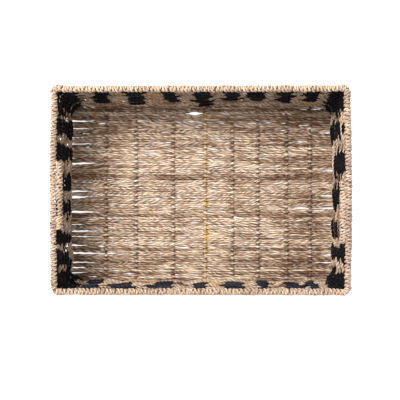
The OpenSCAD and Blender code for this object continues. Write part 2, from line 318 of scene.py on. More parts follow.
class Skein:
    """Collects tubes and makes one mesh of them."""

    def __init__(self):
        self.points = []
        self.fibre = []
        self.tone = []
        self.shade = []
        self.rings = []

    def tube(
        self, path, side, up, side_radius, up_radius, run, tone, shade, turn, centre,
        width, beside, deep,
    ):
        """One ply: a ring of points round each point of the path, with its attributes."""
        c, s = np.cos(RING)[None, :, None], np.sin(RING)[None, :, None]
        ring = c * (side * side_radius[:, None])[:, None, :]
        ring = ring + s * (up * up_radius[:, None])[:, None, :]
        self.points.append((path[:, None, :] + ring).reshape(-1, 3))
        around = np.stack(
            [
                np.repeat(run, PLY_SIDES),
                np.tile(np.cos(RING), len(path)) * np.mean(side_radius),
                np.tile(np.sin(RING), len(path)) * np.mean(up_radius),
            ],
            -1,
        )
        self.fibre.append(around)
        self.tone.append(np.repeat(tone, PLY_SIDES))
        # Painted shade: darker in the groove between plies and on the flanks, where a cord
        # meets its neighbours.
        facing = np.cos(RING[None, :] - turn[:, None])
        groove = deep + (1 - deep) * smooth_step((facing - GROOVE_FROM) / GROOVE_FADE)
        across = np.abs(centre[:, None] + np.cos(RING)[None, :] * side_radius[:, None])
        flank = smooth_step((across / width[:, None] - FLANK_START) / FLANK_WIDE)
        groove = groove * (1 - (1 - beside[:, None]) * flank)
        self.shade.append((shade[:, None] * groove).ravel())
        self.rings.append(len(path))

    def cord(
        self, path, up, width, depth, rng, tone=0.5, shade=1.0, side=None,
        phase=None, tapers=(True, True), pitch=TWIST_PITCH, lay="two", mottle=0.14,
        beside=1.0, deep=GROOVE_SHADE,
    ):
        """A twisted cord along the path: width across, depth along the way up.

        Beside is how light the painted shade on its flanks is, and deep how light the
        painted shade in its grooves is; the tapers say whether its start and its end are
        thinned.
        """
        if len(path) < 3:
            return
        run = run_along(path)
        if side is None:
            side = unit(np.cross(np.gradient(path, axis=0), up))
        if phase is None:
            phase = rng.uniform(0, TAU)
        near = np.full(len(path), 1e9)
        if tapers[0]:
            near = np.minimum(near, run)
        if tapers[1]:
            near = np.minimum(near, run[-1] - run)
        thin = END_SHARE + (1 - END_SHARE) * smooth_step(near / END_TAPER)
        offset = rng.uniform(0, 50)
        tone = np.broadcast_to(tone, len(path))
        shade = np.broadcast_to(shade, len(path))
        beside = np.broadcast_to(beside, len(path))
        plies, share, ply_reach = LAYS[lay]
        slack = wander(rng, run, *SLACK)
        twist = TAU * run / pitch + TWIST_DRIFT * wander(rng, run, TWIST_KNOT)
        for k in range(plies):
            turn = twist + phase + TAU * k / plies
            reach = ply_reach * thin * slack
            off = np.cos(turn)[:, None] * side * (width * reach)[:, None]
            off = off + np.sin(turn)[:, None] * up * (depth * reach)[:, None]
            radius = share * thin * wander(rng, run, *SWELL)
            patches = mottle * wander(rng, run, PATCH_KNOT)
            patches = patches + rng.normal(0, PLY_TONE_CHANCE)
            patches = np.clip(patches, None, TONE_LIMIT - tone)
            patches = np.where(tone > GOLDEN_FROM, 0, patches)
            self.tube(
                path + off, side, up, width * radius, depth * radius,
                run + offset + k, tone + patches, shade, turn, np.cos(turn) * width * reach,
                np.broadcast_to(width, len(path)), beside, deep,
            )

    def build(self, name, slot, *nodes):
        """One piece of all the tubes so far, in a slot's material, in place of the nodes."""
        points = np.concatenate(self.points)
        quads, caps = [], []
        start = 0
        j = np.arange(PLY_SIDES)
        k = (j + 1) % PLY_SIDES
        for count in self.rings:
            i = start + PLY_SIDES * np.arange(count - 1)[:, None]
            quads.append(
                np.stack([i + j, i + PLY_SIDES + j, i + PLY_SIDES + k, i + k], -1)
                .reshape(-1, 4)
            )
            caps.append(start + j)
            caps.append(start + PLY_SIDES * (count - 1) + j[::-1])
            start += PLY_SIDES * count
        quads = np.concatenate(quads)
        caps = np.array(caps)
        # turn every face outward
        if signed_volume(points, quads) < 0:
            quads = quads[:, ::-1]
            caps = caps[:, ::-1]
        loops = np.concatenate([quads.ravel(), caps.ravel()])
        totals = np.repeat([4, PLY_SIDES], [len(quads), len(caps)])
        starts = np.cumsum(totals) - totals
        mesh = bpy.data.meshes.new(name)
        mesh.vertices.add(len(points))
        mesh.vertices.foreach_set("co", points.ravel())
        mesh.loops.add(len(loops))
        mesh.loops.foreach_set("vertex_index", loops)
        mesh.polygons.add(len(totals))
        mesh.polygons.foreach_set("loop_start", starts)
        mesh.polygons.foreach_set("use_smooth", np.ones(len(totals), bool))
        mesh.update(calc_edges=True)
        fibre = mesh.attributes.new("fibre", "FLOAT_VECTOR", "POINT")
        fibre.data.foreach_set("vector", np.concatenate(self.fibre).ravel())
        for label, values in (("tone", self.tone), ("shade", self.shade)):
            layer = mesh.attributes.new(label, "FLOAT", "POINT")
            layer.data.foreach_set("value", np.concatenate(values))
        mesh.materials.append(materials[slot])
        piece = new_object(name, mesh)
        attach(piece, "root")
        if nodes:
            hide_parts(*nodes)


def signed_volume(points, quads):
    a, b, c, d = (points[quads[:, i]] for i in range(4))
    return np.sum(a * np.cross(b, c)) + np.sum(a * np.cross(c, d))


# ---- Materials ----


def new_material(name):
    """A node material, its tree and its shader."""
    material = bpy.data.materials.new(name)
    material.use_nodes = True
    tree = material.node_tree
    shader = tree.nodes["Principled BSDF"]
    return material, tree, shader


def attribute_node(tree, name):
    node = tree.nodes.new("ShaderNodeAttribute")
    node.attribute_name = name
    return node


def ramp_node(tree, source, stops):
    """The colour of a ramp with the given stops, driven by the source."""
    ramp = tree.nodes.new("ShaderNodeValToRGB")
    elements = ramp.color_ramp.elements
    while len(elements) < len(stops):
        elements.new(0.5)
    for element, (place, colour) in zip(elements, stops):
        element.position = place
        element.color = (*colour, 1)
    tree.links.new(source, ramp.inputs["Fac"])
    return ramp.outputs["Color"]


def blend_node(tree, kind, factor, first, second):
    """A mix of two colours, each a socket or a plain colour."""
    mix = tree.nodes.new("ShaderNodeMix")
    mix.data_type = "RGBA"
    mix.blend_type = kind
    for socket, value in ((0, factor), (6, first), (7, second)):
        if hasattr(value, "is_output"):
            tree.links.new(value, mix.inputs[socket])
        elif socket == 0:
            mix.inputs[socket].default_value = value
        else:
            mix.inputs[socket].default_value = (*value, 1)
    return mix.outputs[2]


def stretched_noise(tree, vector, scale, detail):
    """Noise over the vector, with its own scale along each axis."""
    stretch = tree.nodes.new("ShaderNodeVectorMath")
    stretch.operation = "MULTIPLY"
    stretch.inputs[1].default_value = scale
    tree.links.new(vector, stretch.inputs[0])
    noise = tree.nodes.new("ShaderNodeTexNoise")
    noise.inputs["Scale"].default_value = 1.0
    noise.inputs["Detail"].default_value = detail
    tree.links.new(stretch.outputs["Vector"], noise.inputs["Vector"])
    return noise.outputs["Fac"]


def range_node(tree, source, low, high, start=0.25, end=0.75):
    """Low where the source is at start, high where it is at end."""
    node = tree.nodes.new("ShaderNodeMapRange")
    for socket, value in enumerate((start, end, low, high), 1):
        node.inputs[socket].default_value = value
    tree.links.new(source, node.inputs["Value"])
    return node.outputs["Result"]


def bump_node(tree, shader, source, strength, distance):
    bump = tree.nodes.new("ShaderNodeBump")
    bump.inputs["Strength"].default_value = strength
    bump.inputs["Distance"].default_value = distance
    tree.links.new(source, bump.inputs["Height"])
    tree.links.new(bump.outputs["Normal"], shader.inputs["Normal"])


# Scales of the noises along and across a ply, per metre.
FIBRE_SCALE = (90, 2600, 2600)
FLECK_GLINT_SCALE = (260, 900, 900)
TINT_SCALE = (28, 300, 300)
# The slow drift of hue along a cord, as factors of its colour.
TINTS = ((0.3, (0.93, 0.985, 1.08)), (0.5, (1.0, 1.0, 1.0)), (0.7, (1.07, 0.99, 0.88)))

# Where dark flecks and painted pale glints fade in or out of their noise, and how
# strong the dark flecks are.
DARK_FLECKS = (0.56, 0.70)
DARK_FLECK_MOST = 0.65
GLINT_RANGE = (0.32, 0.44)
GLINT_COLOUR = (0.93, 0.88, 0.80)
ROUGH_SPREAD = 0.12
FIBRE_RELIEF = 0.4 * MM


def cord_material(name, tones, shade_and_fleck, streak, rough, bump, sheen=0.1, gloss=0.3, pale=0.3):
    """Twisted fibre: the ramp of its tones, the colour of its painted shade and dark
    flecks, how strong its streaks, bump and painted pale glints are, and its
    roughness, sheen and gloss."""
    material, tree, shader = new_material(name)
    place = attribute_node(tree, "fibre").outputs["Vector"]
    tone = attribute_node(tree, "tone").outputs["Fac"]
    shade = attribute_node(tree, "shade").outputs["Fac"]
    fibre = stretched_noise(tree, place, FIBRE_SCALE, 4)
    fleck_glint = stretched_noise(tree, place, FLECK_GLINT_SCALE, 2)
    tint = stretched_noise(tree, place, TINT_SCALE, 1)
    streaks = ((0.3, (1 - streak,) * 3), (0.7, (1 + streak,) * 3))
    colour = ramp_node(tree, tone, tones)
    colour = blend_node(tree, "MULTIPLY", 1.0, colour, ramp_node(tree, fibre, streaks))
    colour = blend_node(tree, "MULTIPLY", 1.0, colour, ramp_node(tree, tint, TINTS))
    dark_fleck = range_node(tree, fleck_glint, 0.0, DARK_FLECK_MOST, *DARK_FLECKS)
    colour = blend_node(tree, "MIX", dark_fleck, colour, shade_and_fleck)
    # Painted glints: pale flecks mixed in at the low end of the fleck noise.
    pale_glint = range_node(tree, fleck_glint, pale, 0.0, *GLINT_RANGE)
    colour = blend_node(tree, "MIX", pale_glint, colour, GLINT_COLOUR)
    # Painted shade: the colour times the shade brown, mixed in where the shade attribute is
    # low.
    dark = blend_node(tree, "MULTIPLY", 1.0, colour, shade_and_fleck)
    colour = blend_node(tree, "MIX", shade, dark, colour)
    tree.links.new(colour, shader.inputs["Base Color"])
    roughness = range_node(tree, fibre, rough - ROUGH_SPREAD, rough + ROUGH_SPREAD)
    tree.links.new(roughness, shader.inputs["Roughness"])
    shader.inputs["Specular IOR Level"].default_value = gloss
    shader.inputs["Sheen Weight"].default_value = sheen
    bump_node(tree, shader, fibre, bump, FIBRE_RELIEF)
    materials[name] = material


SPECK_SCALE = (700, 700, 700)
SPECK_MOST = 0.8
SPECKS = (0.6, 0.7)
SPECK_RELIEF = 0.2 * MM


def wire_material(name, dark, light, chip, rough, stretch):
    """Painted or natural rod: soft colour changes, small worn specks."""
    material, tree, shader = new_material(name)
    place = tree.nodes.new("ShaderNodeTexCoord").outputs["Object"]
    cloud = stretched_noise(tree, place, stretch, 4)
    speck = stretched_noise(tree, place, SPECK_SCALE, 3)
    colour = ramp_node(tree, cloud, ((0.35, dark), (0.65, light)))
    amount = range_node(tree, speck, 0.0, SPECK_MOST, *SPECKS)
    colour = blend_node(tree, "MIX", amount, colour, chip)
    tree.links.new(colour, shader.inputs["Base Color"])
    roughness = range_node(tree, speck, rough - 0.1, rough + ROUGH_SPREAD)
    tree.links.new(roughness, shader.inputs["Roughness"])
    bump_node(tree, shader, speck, 0.3, SPECK_RELIEF)
    materials[name] = material


# Ramps from the darkest tone to the lightest; the last stop is a golden strand, except
# in the black cord.
WALL_TONES = (
    (0.0, (0.11, 0.06, 0.035)),
    (0.3, (0.32, 0.21, 0.135)),
    (0.6, (0.57, 0.425, 0.31)),
    (0.85, (0.76, 0.63, 0.50)),
    (1.0, (0.62, 0.42, 0.24)),
)
BASE_TONES = (
    (0.0, (0.16, 0.075, 0.037)),
    (0.3, (0.42, 0.29, 0.195)),
    (0.6, (0.67, 0.53, 0.40)),
    (0.85, (0.89, 0.78, 0.66)),
    (1.0, (0.80, 0.56, 0.24)),
)
RIM_TONES = (
    (0.0, (0.20, 0.10, 0.05)),
    (0.35, (0.50, 0.36, 0.26)),
    (0.65, (0.68, 0.525, 0.40)),
    (0.88, (0.80, 0.655, 0.52)),
    (1.0, (0.70, 0.40, 0.15)),
)
# Its upper stops are mostly for the front wall's strands, painted lighter by the lamp.
BLACK_TONES = (
    (0.0, (0.0014, 0.0017, 0.0042)),
    (0.6, (0.003, 0.0038, 0.0095)),
    (1.0, (0.032, 0.035, 0.054)),
)
# Colours of painted shade in grooves, on flanks and in holes, also of dark flecks.
SHADE_AND_FLECK_BROWN = (0.20, 0.105, 0.055)
BLACK_SHADE_AND_FLECK = (0.001, 0.001, 0.002)

materials = {}
cord_material("base_seagrass", BASE_TONES, SHADE_AND_FLECK_BROWN, 0.3, 0.7, 0.5)
cord_material("wall_seagrass", WALL_TONES, SHADE_AND_FLECK_BROWN, 0.3, 0.7, 0.5)
cord_material("rim_cord", RIM_TONES, SHADE_AND_FLECK_BROWN, 0.22, 0.66, 0.45)
cord_material("black_cord", BLACK_TONES, BLACK_SHADE_AND_FLECK, 0.35, 0.5, 0.5, 0.0, 0.16, 0.0)
wire_material(
    "frame_wire", (0.14, 0.085, 0.045), (0.26, 0.17, 0.10), (0.05, 0.03, 0.02), 0.45,
    (60, 60, 60),
)
wire_material(
    "straw_stake", (0.52, 0.30, 0.05), (0.72, 0.48, 0.12), (0.30, 0.15, 0.03), 0.5,
    (500, 25, 60),
)

# ---- Walls ----

# The rows: their spacing, their step, their cord, and how far from the middle of the
# wall it passes a wire.
WALL_PITCH = 3.15 * MM
WALL_STEP = 1.5 * MM
WALL_WIDTH = 5.1 * MM
WALL_DEPTH = 3.8 * MM
WEAVE_REACH = 2.35 * MM
FIRST_ROW_Z = 8.6 * MM
LAST_ROW_Z = RIM_Z - RIM_RADIUS - 0.5 * MM
# Smooth chance in the rows: knot, likeness to the row below, and amount.
WALL_INSET = (55 * MM, 0.35, 1.2 * MM)
WALL_LIFT = (28 * MM, 0.5, 0.45 * MM)
WALL_TONE = (40 * MM, 0.5, 0.3)
# Rows swing in and out together, one wave in so many rows, which drifts along the wall.
TOOTH_ROWS = 6.5
TOOTH_DEPTH = 1.3 * MM
TOOTH_DRIFT = 1.5
TOOTH_KNOT = 60 * MM
# The lowest rows lie further in.
FOOT_ROWS = 6
FOOT_INSET = 2.0 * MM
# How far the rows round off the inside of a corner, at the rim and at the foot.
RIM_FILL = 1.0 * MM
FOOT_FILL = 6 * MM
CORNER_FILL_REACH = 20 * MM
CORNER_NAMES = ("front_right", "back_right", "back_left", "front_left")
# Hand-holes: the uprights' distance from their ends, the share of the rail's radius that
# the rows stop above, the length in which a row is drawn to its upright, and the turns.
UPRIGHT_SET_BACK = 3 * MM
RAIL_SHARE = 0.6
TURN_PULL = 14 * MM
TURN_BULGE = 0.9
# Spots: the least and most that a row of one reaches, as shares of its half length, the
# chance in that, and the chance that a row has no black in a spot of an end wall.
SPOT_CORE = {"front": 0.46, "right": 0.56, "back": 0.46, "left": 0.68}
SPOT_TIP = 1.42
TOOTH_CHANCE = 1.9 * MM
SKIP_CHANCE = 0.03
BLACK_OVERLAP = 1.6 * MM
# The waves of a spot's or corner's edge from row to row.
EDGE_DRIFT = 2.2
EDGE_KNOT = 7
EDGE_SIZES = (0.6, 1.1)
EDGE_CHANCE = 0.08
CORNER_TOOTH = 15 * MM
CORNER_BACK = 8 * MM
# Tones: the middle one of each side, their chance, and how many strands are golden.
# The back and left walls, which stand in shade, get lighter middles: painted light.
SIDE_TONE_AND_LIGHT = {"front": 0.62, "right": 0.64, "back": 0.84, "left": 0.84}
SIDE_TONE_CHANCE = 0.19
GOLDEN_CHANCE = 0.006
GOLDEN_TONE = 0.98
# The lowest and highest tone of black strands: first elsewhere, then on the front wall,
# which is painted lighter where the lamp falls on it.
BLACK_TONE_AND_FRONT_LIGHT = ((0.1, 0.6), (0.62, 1.0))
# Painted shade where a cord crosses the middle of the wall: how light it is there,
# and how fast that ends.
CROSSING_SHADE = 0.55
CROSSING_FADE = 2.4


def station_places(z):
    """Distances along the loop of the wires that a row goes in and out of."""
    places = []
    for side in SIDES:
        here = sorted(along(side, c, z) for c in stakes[side])
        places += here + [START[side] + LENGTH[side] + TURN / 2]
    return np.array(places)


def spot_spans(rng, row, z, feet, teeth):
    """The black lengths of a row in the spots: (start, end, side) along the loop."""
    spans = []
    for side in SIDES:
        for number, (low, high) in enumerate(spots[side]):
            if row < feet[side][number]:
                continue
            if side not in LONG_SIDES and rng.uniform() < SKIP_CHANCE:
                continue
            middle_place = (low + high) / 2
            half = (high - low) / 2
            core = SPOT_CORE[side]
            reach = core + (SPOT_TIP - core) * teeth[side, number][:, row]
            ends = half * reach + rng.normal(0, TOOTH_CHANCE, 2)
            a = along(side, middle_place - ends[0], z)
            b = along(side, middle_place + ends[1], z)
            spans.append((min(a, b), max(a, b), side))
    return spans


def corner_spans(rng, row, z, teeth):
    """The black lengths of a row round the corners: (start, end, corner)."""
    spans = []
    for number, side in enumerate(SIDES):
        after = SIDES[(number + 1) % 4]
        edges = teeth["corner"][2 * number:2 * number + 2, row]
        ragged = CORNER_TOOTH * edges - CORNER_BACK + rng.normal(0, TOOTH_CHANCE, 2)
        first, second = BLACK_FROM_X, BLACK_FROM_Y
        if side not in LONG_SIDES:
            first, second = second, first
        a = along(side, way_of(side) * (first - ragged[0]), z)
        b = along(after, -way_of(after) * (second - ragged[1]), z)
        ends = [(a, LOOP), (0.0, b)] if b < a else [(a, b)]
        spans += [(*span, CORNER_NAMES[number]) for span in ends]
    return spans


def tooth_curve(rng, rows):
    """How far, from 0 to 1, the tips of each row reach at one edge of a spot."""
    row = np.arange(rows)
    drift = EDGE_DRIFT * wander(rng, row, EDGE_KNOT)
    wave = 0.5 + 0.5 * np.cos(TAU * row / TOOTH_ROWS + drift)
    reach = wave * rng.uniform(*EDGE_SIZES) + rng.normal(0, EDGE_CHANCE, rows)
    return np.clip(reach, 0, 1)


def side_of(place):
    """The side, with its share of the corners, that a distance along the loop is on."""
    for side in SIDES:
        if START[side] - TURN / 2 <= place <= START[side] + LENGTH[side] + TURN / 2:
            return side
    return "left"


def hole_spans(z):
    """The lengths of a row that the hand-holes leave out, with the uprights' places."""
    spans = []
    for side, rail in rails.items():
        if rail["z"] + rail["radius"] * RAIL_SHARE < z < RIM_Z:
            ends = [
                along(side, rail["ends"][0] - UPRIGHT_SET_BACK, z),
                along(side, rail["ends"][1] + UPRIGHT_SET_BACK, z),
            ]
            spans.append((min(ends), max(ends)))
    return spans


def subtract(span, holes):
    """The parts of a span that are outside the holes."""
    parts = [span]
    for low, high in holes:
        cut = [((a, min(b, low)), (max(a, high), b)) for a, b in parts]
        parts = [(a, b) for pair in cut for a, b in pair if a < b]
    return parts


def from_corner(t, number):
    """Distances along the loop from the middle of a corner."""
    side = SIDES[number]
    peak = START[side] + LENGTH[side] + TURN / 2
    return np.abs((t - peak + LOOP / 2) % LOOP - LOOP / 2)


def corner_fill(t, z):
    """How far the rows inside a corner post round the corner off, most at the foot."""
    depth = RIM_FILL + FOOT_FILL * (1 - z / RIM_Z)
    near = sum(smooth_step(1 - from_corner(t, n) / CORNER_FILL_REACH) for n in range(4))
    return depth * near


def wall_rows():
    """The spiral, row by row: its distances along the loop, points and outward ways."""
    rng = np.random.default_rng(11)
    rows = int((LAST_ROW_Z - FIRST_ROW_Z) / WALL_PITCH)
    pitch = (LAST_ROW_Z - FIRST_ROW_Z) / rows
    t = np.linspace(0, LOOP, int(LOOP / WALL_STEP) + 1)
    number = np.arange(rows)[:, None]
    inset = row_fields(rng, rows, t, *WALL_INSET)
    waves = TOOTH_DRIFT * wander(rng, t, TOOTH_KNOT)
    inset += TOOTH_DEPTH * np.cos(TAU * number / TOOTH_ROWS + waves)
    inset -= FOOT_INSET * np.clip(1 - number / FOOT_ROWS, 0, 1)
    lift = row_fields(rng, rows, t, *WALL_LIFT)
    tones = row_fields(rng, rows, t, *WALL_TONE)
    built = []
    for k in range(rows):
        z = FIRST_ROW_Z + pitch * (k + t / LOOP)
        row_z = float(np.mean(z))
        places = station_places(row_z)
        count = len(places)
        known = np.concatenate([[places[-1] - LOOP], places, [places[0] + LOOP]])
        phase = np.interp(t, known, np.arange(-1, count + 1)) + count * k
        points, outs = loop_point(t, z)
        weave = WEAVE_REACH * np.cos(np.pi * phase)
        holes = hole_spans(row_z)
        turn_side = 1 if k % 2 else -1
        for low, high in holes:
            for end in (low, high):
                pull = smooth_step(1 - np.abs(t - end) / TURN_PULL)
                weave = weave * (1 - pull) + pull * turn_side * WEAVE_REACH
        weave -= corner_fill(t, row_z) * (weave < 0)
        points = points + outs * (weave + inset[k])[:, None]
        points[:, 2] += lift[k]
        built.append({
            "t": t, "z": row_z, "points": points, "outs": outs, "holes": holes,
            "weave": weave + inset[k], "tone": tones[k], "side": turn_side,
            "run": t + LOOP * k,
        })
    return built


def wall_cord(skein, row, low, high, rng, tone, tapers):
    """The cord of a row from low to high along the loop."""
    pick = (row["t"] >= low) & (row["t"] <= high)
    if np.count_nonzero(pick) < 4:
        return
    up = row["outs"][pick]
    side = np.tile((0.0, 0.0, 1.0), (len(up), 1))
    # Painted shade, darkest where the cord crosses the middle of the wall.
    off_middle = np.clip(np.abs(row["weave"][pick]) / (2 * WEAVE_REACH), 0, 0.5)
    light = np.clip(off_middle * CROSSING_FADE, 0, 1)
    shade = CROSSING_SHADE + (1 - CROSSING_SHADE) * light
    phase = row["run"][pick][0] / TWIST_PITCH * TAU
    skein.cord(
        row["points"][pick], up, WALL_WIDTH, WALL_DEPTH, rng,
        tone=tone + row["tone"][pick], shade=shade, side=side, phase=phase,
        tapers=tapers,
    )


def hole_turns(skeins, built, rng):
    """The short turns by which the rows go back round the uprights of the hand-holes."""
    angle = np.linspace(0, np.pi, 9)
    pairs = [
        (low, high) for low, high in zip(built[:-1], built[1:])
        if low["holes"] and high["holes"] and low["side"] < 0
    ]
    for low, high in pairs:
        for side, rail in rails.items():
            for end, way in zip(rail["ends"], (1, -1)):
                place = end - way * UPRIGHT_SET_BACK
                t0 = along(side, place, low["z"])
                i = int(np.argmin(np.abs(low["t"] - t0)))
                a, b = low["points"][i], high["points"][i]
                half = (a - b) / 2
                path = (a + b) / 2 + np.cos(angle)[:, None] * half
                path[:, 1] += way * np.sin(angle) * UPRIGHT_SET_BACK * TURN_BULGE
                up = np.stack(
                    [np.cos(angle) * np.sign(half[0]), way * np.sin(angle), 0 * angle],
                    -1,
                )
                dark = any(lo <= place <= hi for lo, hi in spots[side])
                skein = skeins[side, "black" if dark else "plain"]
                skein.cord(
                    path, up, WALL_WIDTH, WALL_DEPTH, rng,
                    side=np.tile((0.0, 0.0, 1.0), (len(up), 1)),
                    tone=0.55 if not dark else 0.4, tapers=(False, False),
                )


def natural_tone(rng, side):
    """The tone of one plain length of the walls."""
    # The back and left walls' lighter middles are painted light.
    tone = np.clip(rng.normal(SIDE_TONE_AND_LIGHT[side], SIDE_TONE_CHANCE), 0.1, TONE_LIMIT)
    return GOLDEN_TONE if rng.uniform() < GOLDEN_CHANCE else tone


def weave_walls():
    rng = np.random.default_rng(23)
    skeins = {(side, kind): Skein() for side in SIDES for kind in ("plain", "black")}
    skeins.update({(name, "black"): Skein() for name in CORNER_NAMES})
    built = wall_rows()
    feet = {side: rng.integers(3, 9, len(spots[side])) for side in SIDES}
    feet["back"][3] = 0
    feet["left"] //= 4
    feet["right"] //= 2
    teeth = {
        (side, number): np.array([tooth_curve(rng, len(built)) for _ in range(2)])
        for side in SIDES for number in range(len(spots[side]))
    }
    teeth["corner"] = np.array([tooth_curve(rng, len(built)) for _ in range(8)])
    for k, row in enumerate(built):
        blacks = spot_spans(rng, k, row["z"], feet, teeth)
        blacks = sorted(blacks + corner_spans(rng, k, row["z"], teeth))
        for low, high, where in blacks:
            for a, b in subtract((low, high), row["holes"]):
                tapers = (a > 0 and a == low, b < LOOP and b == high)
                wall_cord(
                    skeins[where, "black"], row,
                    a - (BLACK_OVERLAP if tapers[0] else 0),
                    b + (BLACK_OVERLAP if tapers[1] else 0),
                    # Black strands on the front wall are painted lighter, where the lamp
                    # falls on them.
                    rng, rng.uniform(*BLACK_TONE_AND_FRONT_LIGHT[where == "front"]), tapers,
                )
        gaps = [(low, high) for low, high, _ in blacks]
        for low, high in subtract((0.0, LOOP), gaps):
            for a, b in subtract((low, high), row["holes"]):
                side = side_of((a + b) / 2)
                wall_cord(
                    skeins[side, "plain"], row, a, b, rng, natural_tone(rng, side),
                    (a == low, b == high),
                )
    hole_turns(skeins, built, rng)
    build_walls(skeins)


def build_walls(skeins):
    for (where, kind), skein in skeins.items():
        if kind == "plain":
            skein.build(f"{where}_weave", "wall_seagrass", f"{where}_wall_weave")
        elif where in SIDES:
            skein.build(f"{where}_spots", "black_cord", f"{where}_black_spots")
        else:
            skein.build(f"corner_{where}", "black_cord", f"black_corner_{where}")


# ---- Base ----

# The rows: their spacing and steps, finer near the stakes, and the size of their cord.
BASE_PITCH = 3.1 * MM
BASE_STEP = 1.9 * MM
STAKE_STEP = 0.85 * MM
STAKE_ZONE = 5.5 * MM
BASE_WIDTH = 4.0 * MM
BASE_DEPTH = 2.9 * MM
BASE_PARTS = 4
ROW_INSET = 1.2 * MM
END_INSET = 0.9 * MM
# How a row goes over and under: its middle height above the stakes' middles, how far
# from it, and within what distance of a stake, and how much wider it is on top.
LEVEL_Z = 0.9 * MM
BASE_REACH = 2.1 * MM
STAKE_PINCH = 2.7 * MM
TOP_SWELL = 0.28
SWELL_LONG = 1.9 * MM
BASE_FLOOR = 0.1 * MM
BASE_CEILING = 0.2 * MM
# Smooth chance in the rows: knot, likeness to the row in front, and amount.
BASE_SWAY = (24 * MM, 0.62, 0.85 * MM)
BASE_RISE = (13 * MM, 0.1, 0.7 * MM)
BASE_TONE = (45 * MM, 0.2, 0.24)
# Tones: middle, chance, how many rows are dark, how dark, and the limits in the end.
ROW_TONE = 0.64
ROW_TONE_CHANCE = 0.13
DARK_ROWS = 0.06
DARK_ROW_TONE = 0.36
BASE_TONE_LIMITS = (0.05, 0.86)
# Painted shade of the holes beside the stakes: their distance, width and darkness.
DOT_OFF = 2.4 * MM
DOT_WIDE = 0.95 * MM
DOT_CHANCE = (-0.75, 1.0)
DOT_DARK = 0.95
UNDER_LIGHT = 0.05
# Painted shade on the flanks, between rows: the least light, how much it changes, and
# over what distance.
FLANK_LIGHT = 0.22
FLANK_CHANCE = 0.8
FLANK_KNOT = 9 * MM
BASE_MOTTLE = 0.26
BASE_TWIST = (22 * MM, 44 * MM)
# The straw stake's stain: its place and width, and the stretch where it is strongest.
STAIN_SHIFT = 1.2 * MM
STAIN_WIDE = 3.6 * MM
STAIN = 0.26
STAIN_MORE = 0.22
STAIN_Y = -55 * MM
STAIN_LONG = 28 * MM
# Slits between rows at the left and right ends: places along Y, as shares of the half
# width. The others are short, and most of them are near the back.
END_SLITS = {
    "left": (0.83, 0.74, 0.65, 0.56, 0.40, 0.34, 0.12, 0.01, -0.05, -0.22, -0.36,
             -0.44, -0.51, -0.62, -0.70, -0.79, -0.86, -0.92),
    "right": (0.69, 0.26, -0.04, -0.17, -0.37, -0.71, -0.81),
}
SHORT_SLITS = 90
BACK_CHANCE = 0.65
BACK_FROM = 0.45
# The least and most length of each kind of slit, and the least and most width, in mm.
SLIT_SIZES = {
    "left": ((22, 46), (1.2, 2.6)),
    "right": ((14, 30), (1.4, 2.6)),
    "short": ((5, 16), (0.7, 1.5)),
}
SLIT_ROWS = 14 * MM
SLIT_FADE = 4 * MM
# Painted shade of the walls, darkening the strands towards each side: by how much,
# from what share of the half size, and over what distance.
SIDE_SHADE = {
    "left": (0.2, 0.5, 55 * MM),
    "right": (0.2, 0.35, 70 * MM),
    "back": (0.12, 0.55, 30 * MM),
    "front": (0.14, 0.45, 45 * MM),
}


def bell(x, wide):
    return np.exp(-((x / wide) ** 2))


def slit_size(rng, kind):
    lengths, widths = SLIT_SIZES[kind]
    return rng.uniform(*lengths) * MM, rng.uniform(*widths) * MM


def slit_list(rng):
    """The slits: the places of their middles along Y and X, lengths and widths."""
    slits = []
    for side, way in (("left", -1), ("right", 1)):
        for share in END_SLITS[side]:
            slits.append((share * BASE_B, way * BASE_A, *slit_size(rng, side)))
    for _ in range(SHORT_SLITS):
        back = rng.uniform() < BACK_CHANCE
        y = rng.uniform(BACK_FROM, 0.98) if back else rng.uniform(-0.98, BACK_FROM)
        x = rng.uniform(-0.95, 0.9)
        slits.append((y * BASE_B, x * BASE_A, *slit_size(rng, "short")))
    return slits


def stake_offsets(x):
    return x[:, None] - np.array(cross_x)[None, :]


def stake_distance(x):
    return np.min(np.abs(stake_offsets(x)), axis=1)


def base_places(end):
    """Places along a base row, closer together where it crosses the stakes."""
    fine = np.linspace(-end, end, 4000)
    closeness = np.exp(-((stake_distance(fine) / STAKE_ZONE) ** 4))
    density = 1 / BASE_STEP + (1 / STAKE_STEP - 1 / BASE_STEP) * closeness
    number = np.concatenate([[0], np.cumsum(density[1:] * np.diff(fine))])
    return np.interp(np.linspace(0, number[-1], int(number[-1])), number, fine)


def hole_shade_dots(rng, x):
    """Painted shade, from 0 to 1, in the holes on both sides of each stake that a
    row goes under.
    """
    offset = stake_offsets(x)
    depth = np.clip(rng.uniform(*DOT_CHANCE, (2, len(cross_x))), 0, 1)
    before = bell(offset + DOT_OFF, DOT_WIDE) * depth[0]
    after = bell(offset - DOT_OFF, DOT_WIDE) * depth[1]
    return np.clip(np.sum(before + after, axis=1), 0, 1)


def push_apart(y0, x, slits):
    """How far a row at y0 is pushed aside by the slits between rows."""
    push = np.zeros(len(x))
    for slit_y, slit_x, length, width in slits:
        away = y0 - slit_y
        if abs(away) < SLIT_ROWS:
            near = np.exp(-2 * ((x - slit_x) / length) ** 2)
            push += np.sign(away) * near * np.exp(-abs(away) / SLIT_FADE) * width
    return push


def base_shadow(x, y):
    """How much darker the strands are, by place, towards the four sides: painted
    shade of the walls.
    """
    out = {"left": -x, "right": x, "back": y, "front": -y}
    dark = 0
    for side, (amount, share, width) in SIDE_SHADE.items():
        half = BASE_B if side in LONG_SIDES else BASE_A
        dark = dark + amount * smooth_step((out[side] - share * half) / width)
    return dark


def row_tone(rng):
    tone = np.clip(rng.normal(ROW_TONE, ROW_TONE_CHANCE), 0.2, TONE_LIMIT)
    return DARK_ROW_TONE if rng.uniform() < DARK_ROWS else tone


